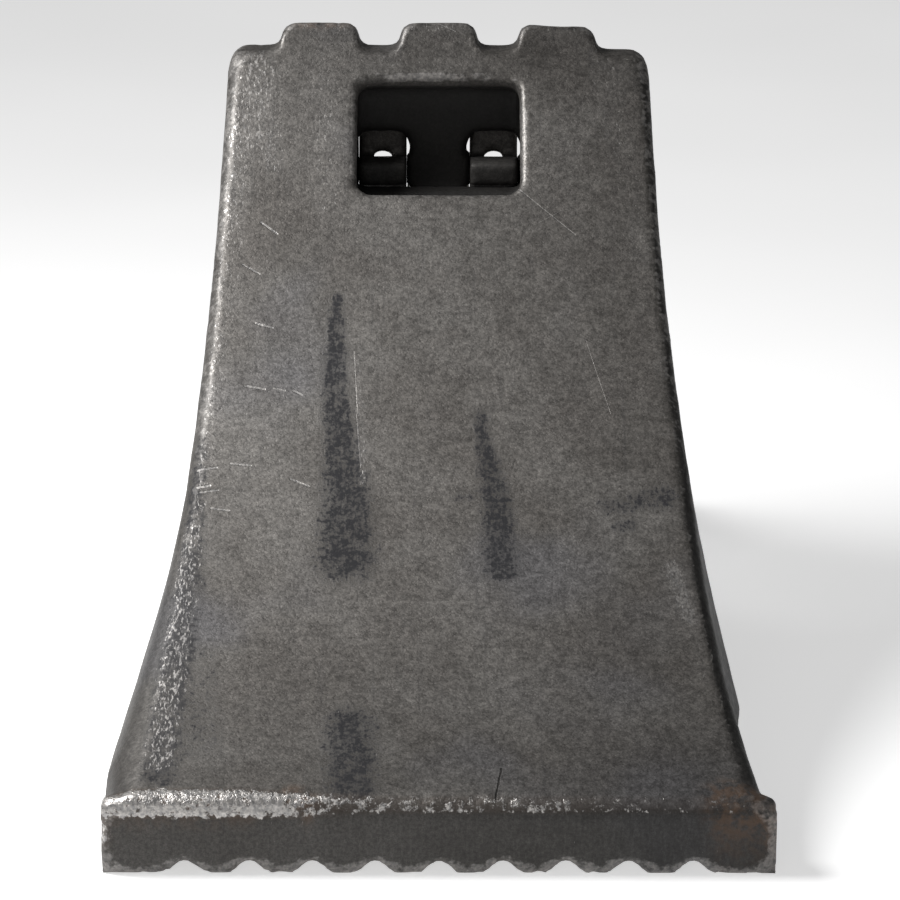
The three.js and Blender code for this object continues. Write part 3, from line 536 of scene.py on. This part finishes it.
# ---------------------------------------------------------------- material graphs
class Graph:
    """Short calls for making a material's nodes."""

    def __init__(self, name):
        self.material = bpy.data.materials.new(name)
        self.material.use_nodes = True
        self.tree = self.material.node_tree
        self.shader = self.tree.nodes["Principled BSDF"]
        self.place = self.tree.nodes.new("ShaderNodeTexCoord").outputs["Object"]

    def node(self, kind, inputs=None, **settings):
        made = self.tree.nodes.new("ShaderNode" + kind)
        for key, value in settings.items():
            setattr(made, key, value)
        for key, value in (inputs or {}).items():
            self.feed(made.inputs[key], value)
        return made

    def feed(self, socket, value):
        if isinstance(value, bpy.types.NodeSocket):
            self.tree.links.new(value, socket)
        else:
            socket.default_value = value

    def math(self, operation, first, second=0.0, third=0.0, clamp=False):
        made = self.node("Math", {0: first, 1: second, 2: third}, operation=operation, use_clamp=clamp)
        return made.outputs[0]

    def add(self, first, second):
        return self.math("ADD", first, second)

    def times(self, first, second):
        return self.math("MULTIPLY", first, second)

    def most(self, first, second):
        return self.math("MAXIMUM", first, second)

    def ramp(self, value, low, high, to_low=0.0, to_high=1.0):
        made = self.node("MapRange", {"Value": value, "From Min": low, "From Max": high,
                                      "To Min": to_low, "To Max": to_high}, interpolation_type="SMOOTHSTEP")
        return made.outputs["Result"]

    def attribute(self, name):
        return self.node("Attribute", attribute_name=name).outputs["Fac"]

    def stretched(self, x, y, z):
        return self.node("Mapping", {"Vector": self.place, "Scale": (x, y, z)}).outputs["Vector"]

    def noise(self, scale, detail=2.0, roughness=0.5, vector=None, distortion=0.0):
        made = self.node("TexNoise", {"Vector": vector or self.place, "Scale": scale, "Detail": detail,
                                      "Roughness": roughness, "Distortion": distortion})
        return made.outputs["Fac"]

    def cells(self, scale, vector=None, feature="F1"):
        made = self.node("TexVoronoi", {"Vector": vector or self.place, "Scale": scale}, feature=feature)
        return made.outputs["Distance"]

    def mixed(self, share, first, second):
        made = self.node("Mix", data_type="RGBA")
        self.feed(made.inputs[0], share)
        self.feed(made.inputs[6], first)
        self.feed(made.inputs[7], second)
        return made.outputs[2]

    def blended(self, share, first, second):
        made = self.node("Mix", data_type="FLOAT")
        self.feed(made.inputs[0], share)
        self.feed(made.inputs[2], first)
        self.feed(made.inputs[3], second)
        return made.outputs[0]

    def lit(self, shade, level):
        """A colour made lighter or darker by a number."""
        grey = self.node("CombineColor", {0: level, 1: level, 2: level}).outputs[0]
        return self.node("MixRGB", {0: 1.0, 1: shade, 2: grey}, blend_type="MULTIPLY").outputs[0]

    def bump(self, height, distance, strength=1.0, normal=None):
        inputs = {"Height": height, "Distance": distance, "Strength": strength}
        if normal is not None:
            inputs["Normal"] = normal
        return self.node("Bump", inputs).outputs["Normal"]

    def finish(self, **inputs):
        for key, value in inputs.items():
            self.feed(self.shader.inputs[key.replace("_", " ")], value)
        return self.material


def colour(red, green, blue):
    return (red, green, blue, 1.0)


def scratch_cover(g, across, along, mark, wobble):
    """1 on a thin line between two places on the tyre face."""
    x0, s0, x1, s1, half, strength = mark
    run_x = x1 - x0
    run_s = s1 - s0
    length_squared = run_x ** 2 + run_s ** 2
    dx = g.add(across, -x0)
    ds = g.add(along, -s0)
    t = g.math("MULTIPLY_ADD", dx, run_x / length_squared, g.times(ds, run_s / length_squared), clamp=True)
    gap_x = g.math("MULTIPLY_ADD", t, -run_x, dx)
    gap_s = g.math("MULTIPLY_ADD", t, -run_s, ds)
    gap = g.math("SQRT", g.add(g.times(gap_x, gap_x), g.times(gap_s, gap_s)))
    ragged = g.math("MULTIPLY_ADD", wobble, half * 1.6, gap)
    return g.ramp(ragged, half * 1.9, half * 0.9, 0.0, strength)


def alloy_fields(g):
    """The noises and the stored values that the alloy's layers share."""
    names = ("across", "along", "face", "rub", "scuff", "edge", "lip", "rust", "inside", "grime", "tone")
    return SimpleNamespace(
        fine=g.noise(2300, 2.0, 0.6),
        grain=g.noise(820, 3.0, 0.62),
        sand=g.noise(300, 4.0, 0.6),
        blotch=g.noise(26, 4.0, 0.58),
        tint=g.noise(14, 2.0, 0.5),
        streak=g.noise(1.0, 3.0, 0.65, vector=g.stretched(900, 170, 170)),
        long_streak=g.noise(1.0, 2.0, 0.55, vector=g.stretched(520, 26, 26)),
        fleck=g.noise(1.0, 3.0, 0.7, vector=g.stretched(1300, 420, 420)),
        **{name: g.attribute(name) for name in names})


def casting_skin(g, f):
    """The grey of the casting, blotched, speckled and faintly streaked, then lightened or darkened over the
    tyre face by painted light and shade.
    """
    body = g.mixed(g.ramp(f.blotch, 0.3, 0.7), colour(0.112, 0.104, 0.096), colour(0.150, 0.142, 0.133))
    body = g.mixed(g.ramp(f.tint, 0.52, 0.72, 0.0, 0.55), body, colour(0.118, 0.116, 0.124))
    speck = g.times(g.ramp(f.grain, 0.28, 0.72, 0.70, 1.30), g.ramp(f.fine, 0.3, 0.7, 0.80, 1.20))
    speck = g.times(speck, g.ramp(f.sand, 0.3, 0.7, 0.86, 1.14))
    body = g.lit(body, speck)
    body = g.mixed(g.ramp(f.long_streak, 0.58, 0.75, 0.0, 0.22), body, colour(0.05, 0.049, 0.050))
    return g.lit(body, f.tone)


# How far the casting goes near black: painted shade on the side walls and the lip's front, dirt on the teeth
# and over the brace, mottled.
def shade_and_dirt_cover(g, f):
    mottle = g.add(g.times(f.streak, 0.5), g.times(f.sand, 0.5))
    return g.times(f.grime, g.ramp(mottle, 0.3, 0.62, 0.78, 1.0))


def rubber_cover(g, f):
    """Where tyres have left rubber, broken up by the casting's grain."""
    broken = g.math("MULTIPLY_ADD", g.add(f.streak, -0.5), 1.5, g.times(g.add(f.grain, -0.5), 3.0))
    broken = g.math("MULTIPLY_ADD", g.add(f.sand, -0.5), 2.6, broken)
    cover = g.ramp(g.math("MULTIPLY_ADD", f.rub, 1.15, broken), 0.20, 1.42, 0.0, 0.97)
    return g.times(cover, g.ramp(f.rub, 0.02, 0.3))


def scratches_cover(g, f, marks):
    wobble = g.add(g.noise(420, 2.0), -0.5)
    lines = None
    for mark in marks:
        cover = scratch_cover(g, f.across, f.along, mark, wobble)
        lines = cover if lines is None else g.most(lines, cover)
    return g.times(lines, f.face)


def scuff_cover(g, f):
    """Flecks of bare metal in the scuffs, a few strays, and the worn edges."""
    fleck_level = g.math("MULTIPLY_ADD", f.scuff, 0.30, g.times(f.fleck, 0.85))
    flecks = g.times(g.ramp(fleck_level, 0.60, 0.74), g.ramp(f.scuff, 0.02, 0.3, 0.0, 0.9))
    stray_noise = g.noise(1.0, 2.0, 0.6, vector=g.stretched(1500, 300, 300))
    stray = g.times(g.ramp(stray_noise, 0.74, 0.82), 0.5)
    edge_level = g.math("MULTIPLY_ADD", f.sand, 0.9, g.times(f.edge, 0.6))
    worn_edge = g.times(g.ramp(edge_level, 0.88, 1.08), 0.26)
    worn_edge = g.times(worn_edge, g.ramp(f.inside, 0.6, 0.2))
    return g.most(g.most(flecks, g.times(f.scuff, 0.10)), g.most(stray, worn_edge))


def lip_sparkle(g, f):
    level = g.math("MULTIPLY_ADD", f.lip, 0.42, g.times(g.noise(430, 3.0, 0.75), 1.15))
    return g.times(g.ramp(level, 0.78, 0.98), g.ramp(f.lip, 0.03, 0.25))


def alloy_relief(g, f, lines, crack, sparkle):
    tops = g.times(g.ramp(g.cells(900), 0.0, 0.5), 0.35)
    height = g.add(g.math("MULTIPLY_ADD", f.sand, 0.9, g.times(f.grain, 0.6)), tops)
    normal = g.bump(height, 0.16 * MM, 0.75)
    cut = g.add(g.times(lines, -1.0), g.times(crack, -2.0))
    cut = g.add(cut, g.times(sparkle, g.noise(500, 3.0)))
    return g.bump(cut, 0.28 * MM, 0.8, normal)


def cast_alloy(name):
    """Dark, weathered cast aluminium with tyre rubber, bright scuffs, worn edges and rust stains, and
    painted light and shade.
    """
    g = Graph(name)
    f = alloy_fields(g)
    darkened = shade_and_dirt_cover(g, f)
    rubber = rubber_cover(g, f)
    lines = scratches_cover(g, f, SCRATCHES)
    crack = scratches_cover(g, f, [CRACK])
    sparkle = lip_sparkle(g, f)
    bright = g.most(scuff_cover(g, f), g.most(lines, sparkle))
    bare = g.mixed(g.ramp(f.grain, 0.35, 0.65), colour(0.36, 0.35, 0.345), colour(0.66, 0.63, 0.60))
    rusted = g.times(g.times(f.rust, g.ramp(f.sand, 0.35, 0.62)), 0.62)
    lip_stain = g.times(g.times(f.lip, g.ramp(sparkle, 0.4, 0.0)), 0.5)

    # Near black: painted shade on the side walls and the lip's front, and dirt on the teeth.
    body = g.mixed(darkened, casting_skin(g, f), colour(0.016, 0.0155, 0.0145))
    body = g.mixed(rusted, body, colour(0.150, 0.088, 0.052))
    body = g.mixed(rubber, body, colour(0.026, 0.026, 0.029))
    body = g.mixed(bright, body, bare)
    body = g.mixed(lip_stain, body, colour(0.10, 0.072, 0.055))
    body = g.mixed(g.times(crack, 0.8), body, colour(0.03, 0.028, 0.026))
    # Painted shade: near black on the hollow underside, inside the hood and on the brace's ears.
    body = g.mixed(g.times(f.inside, 0.92), body, colour(0.011, 0.0105, 0.010))

    dull = g.most(f.inside, darkened)
    metal = g.blended(rubber, g.blended(bright, 0.72, 0.95), 0.1)
    metal = g.blended(dull, metal, 0.15)
    rough = g.blended(bright, g.ramp(f.sand, 0.3, 0.7, 0.50, 0.62), 0.36)
    rough = g.blended(rubber, rough, 0.72)
    sheen = g.blended(dull, g.blended(rubber, 0.5, 0.2), 0.2)
    normal = alloy_relief(g, f, lines, crack, sparkle)
    return g.finish(Base_Color=body, Metallic=metal, Roughness=rough, Normal=normal,
                    Specular_IOR_Level=sheen)


def turned_steel(name):
    g = Graph(name)
    rings = g.noise(1.0, 2.0, 0.6, vector=g.stretched(2600, 300, 300))
    darkened = g.noise(160, 4.0, 0.6)
    body = g.mixed(g.ramp(rings, 0.35, 0.65), colour(0.42, 0.42, 0.425), colour(0.56, 0.56, 0.565))
    body = g.mixed(g.ramp(darkened, 0.52, 0.70, 0.0, 0.6), body, colour(0.12, 0.10, 0.085))
    rough = g.ramp(darkened, 0.4, 0.7, 0.28, 0.5)
    normal = g.bump(rings, 0.03 * MM, 0.5)
    return g.finish(Base_Color=body, Metallic=1.0, Roughness=rough, Normal=normal)


def oiled_bronze(name):
    g = Graph(name)
    pores = g.noise(1500, 3.0, 0.6)
    stain = g.noise(120, 3.0, 0.6)
    body = g.mixed(g.ramp(stain, 0.4, 0.7), colour(0.52, 0.34, 0.14), colour(0.25, 0.15, 0.07))
    rough = g.ramp(pores, 0.3, 0.7, 0.32, 0.5)
    return g.finish(Base_Color=body, Metallic=1.0, Roughness=rough, Normal=g.bump(pores, 0.03 * MM, 0.5))


def natural_nylon(name):
    g = Graph(name)
    mottle = g.noise(220, 3.0, 0.6)
    grime = g.noise(90, 4.0, 0.65)
    body = g.mixed(g.ramp(mottle, 0.3, 0.7), colour(0.58, 0.55, 0.46), colour(0.66, 0.64, 0.56))
    body = g.mixed(g.ramp(grime, 0.5, 0.72, 0.0, 0.7), body, colour(0.12, 0.11, 0.10))
    rough = g.ramp(grime, 0.4, 0.7, 0.42, 0.62)
    return g.finish(Base_Color=body, Roughness=rough, Normal=g.bump(mottle, 0.03 * MM, 0.4))


def moulded_rubber(name):
    g = Graph(name)
    skin = g.noise(900, 3.0, 0.6)
    dust = g.noise(130, 4.0, 0.65)
    dusty = g.ramp(dust, 0.45, 0.75, 0.0, 0.7)
    body = g.mixed(dusty, colour(0.018, 0.018, 0.019), colour(0.075, 0.070, 0.064))
    rough = g.ramp(dust, 0.4, 0.7, 0.62, 0.85)
    return g.finish(Base_Color=body, Roughness=rough, Normal=g.bump(skin, 0.06 * MM, 0.6))


# ---------------------------------------------------------------- turned and pressed pieces
def turned(name, profile, material, to_world, sides=72, hexagon=()):
    """A solid of revolution about local Z through (radius, height) pairs. The profile starts and ends on the
    axis, or closes on itself. The points numbered in hexagon follow a six-sided outline."""
    work = bmesh.new()
    rings = []
    for number, (radius, height) in enumerate(profile):
        if radius == 0:
            rings.append([work.verts.new((0, 0, height))])
            continue
        ring = []
        for i in range(sides):
            angle = 2 * math.pi * i / sides
            reach = radius
            if number in hexagon:
                reach = radius / math.cos((angle % (math.pi / 3)) - math.pi / 6)
            ring.append(work.verts.new((reach * math.cos(angle), reach * math.sin(angle), height)))
        rings.append(ring)
    pairs = list(zip(rings, rings[1:]))
    if profile[0][0] != 0:
        pairs.append((rings[-1], rings[0]))
    for lower, upper in pairs:
        for i in range(sides):
            j = (i + 1) % sides
            below = [lower[i % len(lower)], lower[j % len(lower)]]
            corners = below + [upper[j % len(upper)], upper[i % len(upper)]]
            work.faces.new(list(dict.fromkeys(corners)))
    bmesh.ops.recalc_face_normals(work, faces=work.faces)
    mesh = bpy.data.meshes.new(name)
    work.to_mesh(mesh)
    work.free()
    mesh.transform(to_world)
    obj = new_object(name, mesh, material)
    mesh.set_sharp_from_angle(angle=math.radians(32))
    return obj


def along_x(centre_x):
    """Local Z laid along world X, on the hinge axis."""
    return Matrix.Translation((centre_x, HINGE.y, HINGE.z)) @ Matrix.Rotation(math.pi / 2, 4, "Y")


def ring_profile(inner, outer, thickness, corner):
    half = thickness / 2
    return [
        (inner + corner, -half), (outer - corner, -half), (outer, -half + corner), (outer, half - corner),
        (outer - corner, half), (inner + corner, half), (inner, half - corner), (inner, -half + corner),
    ]


def settle(obj, body, node):
    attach(obj, body)
    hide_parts(node)
    return obj


def span_of(node):
    low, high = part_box(node)
    return (low.x + high.x) / 2, high.x - low.x


def make_pin(steel):
    centre, length = span_of("hinge_pin")
    half = length / 2
    ring_centre, ring_thickness = span_of("retaining_ring_right")
    groove = ring_centre - ring_thickness / 2 - 0.15 * MM
    groove_end = ring_centre + ring_thickness / 2 + 0.15 * MM
    core = PIN_RADIUS - 1 * MM
    chamfer = 1 * MM
    right = [
        (core, groove), (core, groove_end), (PIN_RADIUS, groove_end), (PIN_RADIUS, half - chamfer),
        (PIN_RADIUS - 0.3 * MM, half - 0.3 * chamfer), (PIN_RADIUS - chamfer, half), (1.6 * MM, half),
        (0.8 * MM, half - 0.9 * MM), (0, half - 1.2 * MM),
    ]
    left = [(radius, -height) for radius, height in reversed(right)]
    profile = left + [(PIN_RADIUS, -groove), (PIN_RADIUS, 0), (PIN_RADIUS, groove)] + right
    settle(turned("turned_hinge_pin", profile, steel, along_x(centre)), "face", "hinge_pin")


def make_sleeves(side, steel, bronze, nylon):
    bore = PIN_RADIUS + 0.2 * MM
    washer = 12 * MM
    rows = [
        ("brace_bushing", "sintered_bushing", bore, 8 * MM, bronze, "bronze", "brace", 0.4 * MM),
        ("inner_thrust_washer", "slit_washer_inner", bore, washer, nylon, "nylon", "face", 0.15 * MM),
        ("outer_thrust_washer", "slit_washer_outer", bore, washer, nylon, "nylon", "face", 0.15 * MM),
        ("end_washer", "pin_washer", bore, washer, steel, "steel", "face", 0.2 * MM),
    ]
    for node, name, inner, outer, material, slot, body, corner in rows:
        centre, thickness = span_of(f"{node}_{side}")
        profile = ring_profile(inner, outer, thickness, corner)
        obj = turned(f"{name}_{side}", profile, material, along_x(centre))
        settle(obj, body, f"{node}_{side}")


def make_retaining_ring(side, steel):
    """An open ring, narrowing towards its ends, snapped into the pin's groove."""
    centre, thickness = span_of(f"retaining_ring_{side}")
    inner = PIN_RADIUS - 0.7 * MM
    outer = PIN_RADIUS + 2.2 * MM
    gap = math.radians(38)
    steps = 60
    outline = []
    for i in range(steps + 1):
        angle = -math.pi / 2 + gap / 2 + (2 * math.pi - gap) * i / steps
        thick = 1 - 0.25 * abs(2 * i / steps - 1)
        outline.append((angle, inner, inner + (outer - inner) * thick))
    work = bmesh.new()
    loops = []
    for angle, near, far in outline:
        loop = []
        for radius, height in ((near, -1), (far, -1), (far, 1), (near, 1)):
            y = HINGE.y + radius * math.cos(angle)
            z = HINGE.z + radius * math.sin(angle)
            loop.append(work.verts.new((centre + height * thickness / 2, y, z)))
        loops.append(loop)
    for first, second in zip(loops, loops[1:]):
        for i in range(4):
            j = (i + 1) % 4
            work.faces.new([first[i], first[j], second[j], second[i]])
    work.faces.new(loops[0])
    work.faces.new(loops[-1])
    bmesh.ops.recalc_face_normals(work, faces=work.faces)
    mesh = bpy.data.meshes.new("snap_ring")
    work.to_mesh(mesh)
    work.free()
    obj = new_object(f"snap_ring_{side}", mesh, steel)
    bevel = obj.modifiers.new("soft corners", "BEVEL")
    bevel.width = 0.18 * MM
    bevel.segments = 2
    baked_modifiers(obj)
    settle(obj, "face", f"retaining_ring_{side}")


BUMPER_BACK = 146 * MM
BUMPER_SEAT = 10.3 * MM              # depth of the bumper's base under the tyre face, along its axis


def on_bumper_axis(x):
    """Local Z pointing away from the casting, square to the tyre face, from the bumper's base."""
    angle = math.asin((TOE_Y + BUMPER_BACK - TYRE_AXIS_Y) / TYRE_RADIUS)
    inward = Vector((0, math.sin(angle), -math.cos(angle)))
    surface = Vector((x, TOE_Y + BUMPER_BACK, TYRE_AXIS_Z - TYRE_RADIUS * math.cos(angle)))
    turn = Vector((0, 0, 1)).rotation_difference(inward).to_matrix().to_4x4()
    return Matrix.Translation(surface + inward * BUMPER_SEAT) @ turn


def make_bumper(side, rubber, steel):
    centre, _ = span_of(f"rubber_bumper_{side}")
    place = on_bumper_axis(centre)
    bore = 2.7 * MM
    pocket = 4.7 * MM
    body = [
        (bore, 0), (7.6 * MM, 0), (8 * MM, 0.4 * MM), (8 * MM, 1.8 * MM), (7.5 * MM, 4.5 * MM),
        (7.1 * MM, 6.8 * MM), (6.7 * MM, 7.6 * MM), (6.1 * MM, 8 * MM), (5.2 * MM, 8 * MM),
        (pocket, 7.5 * MM), (pocket, 4 * MM), (bore, 4 * MM),
    ]
    settle(turned(f"moulded_bumper_{side}", body, rubber, place), "face", f"rubber_bumper_{side}")
    head = 4.4 * MM
    socket = 1.45 * MM
    screw = [
        (0, -4.3 * MM), (2 * MM, -4.3 * MM), (2.4 * MM, -3.8 * MM), (2.4 * MM, 4.3 * MM),
        (head - 0.3 * MM, 4.3 * MM), (head, 4.6 * MM), (head, 5.4 * MM), (head - 0.7 * MM, 6.3 * MM),
        (head - 2.0 * MM, 6.8 * MM),
        (socket + 0.2 * MM, 6.9 * MM), (socket, 6.7 * MM), (socket, 5.3 * MM), (0, 5.0 * MM),
    ]
    obj = turned(f"button_screw_{side}", screw, steel, place, hexagon=(9, 10, 11))
    settle(obj, "face", f"bumper_screw_{side}")


# ---------------------------------------------------------------- floor, light and camera
def make_floor():
    g = Graph("pale_floor")
    tone = g.noise(3, 2.0)
    shade = g.mixed(g.ramp(tone, 0.3, 0.7), colour(0.86, 0.86, 0.86), colour(0.89, 0.89, 0.89))
    material = g.finish(Base_Color=shade, Roughness=0.85, Emission_Color=shade, Emission_Strength=0.62)
    mesh = bpy.data.meshes.new("floor")
    reach = 9.0
    mesh.from_pydata([(-reach, -reach, 0), (reach, -reach, 0), (reach, reach, 0), (-reach, reach, 0)], [],
                     [(0, 1, 2, 3)])
    floor = new_object("floor", mesh, material)


def aim(obj, place, target):
    obj.location = place
    obj.rotation_euler = (Vector(target) - Vector(place)).to_track_quat("-Z", "Y").to_euler()


def make_light(name, place, target, size, power):
    lamp = bpy.data.lights.new(name, "AREA")
    lamp.shape = "DISK"
    lamp.size = size
    lamp.energy = power
    obj = bpy.data.objects.new(name, lamp)
    bpy.context.scene.collection.objects.link(obj)
    aim(obj, place, target)


def make_lights():
    make_light("key", (-0.46, -0.06, 0.64), (0.0, -0.02, 0.10), 0.36, 6.5)
    make_light("fill", (-0.3, -1.9, 1.0), (0.0, 0.0, 0.1), 0.9, 2.5)
    world = bpy.data.worlds.new("studio")
    world.use_nodes = True
    world.node_tree.nodes["Background"].inputs["Color"].default_value = colour(1.0, 1.0, 1.0)
    world.node_tree.nodes["Background"].inputs["Strength"].default_value = 0.12
    bpy.context.scene.world = world


CAMERA_PLACE = Vector((-5.1, -1402.3, 533.8)) * MM
CAMERA_YAW = math.radians(0.38)
CAMERA_PITCH = math.radians(17.87)
CAMERA_ROLL = math.radians(0.22)
CAMERA_LENS = 164.7


def make_camera():
    data = bpy.data.cameras.new("camera")
    data.lens = CAMERA_LENS
    data.sensor_width = 36.0
    data.clip_start = 0.05
    camera = bpy.data.objects.new("camera", data)
    bpy.context.scene.collection.objects.link(camera)
    turn = Matrix.Rotation(-CAMERA_YAW, 4, "Z") @ Matrix.Rotation(math.pi / 2 - CAMERA_PITCH, 4, "X")
    camera.matrix_world = Matrix.Translation(CAMERA_PLACE) @ turn @ Matrix.Rotation(CAMERA_ROLL, 4, "Z")
    bpy.context.scene.camera = camera


# ---------------------------------------------------------------- everything together
def build():
    alloy = cast_alloy("dark_cast_alloy")
    steel = turned_steel("turned_steel")
    bronze = oiled_bronze("oiled_bronze")
    nylon = natural_nylon("natural_nylon")
    rubber = moulded_rubber("moulded_rubber")
    make_face_casting(alloy)
    make_rear_brace(alloy)
    make_pin(steel)
    for side in ("left", "right"):
        make_sleeves(side, steel, bronze, nylon)
        make_retaining_ring(side, steel)
        make_bumper(side, rubber, steel)
    make_floor()
    make_lights()
    make_camera()
    bpy.context.scene.view_settings.view_transform = "Standard"
    bpy.context.scene.view_settings.look = "None"


build()
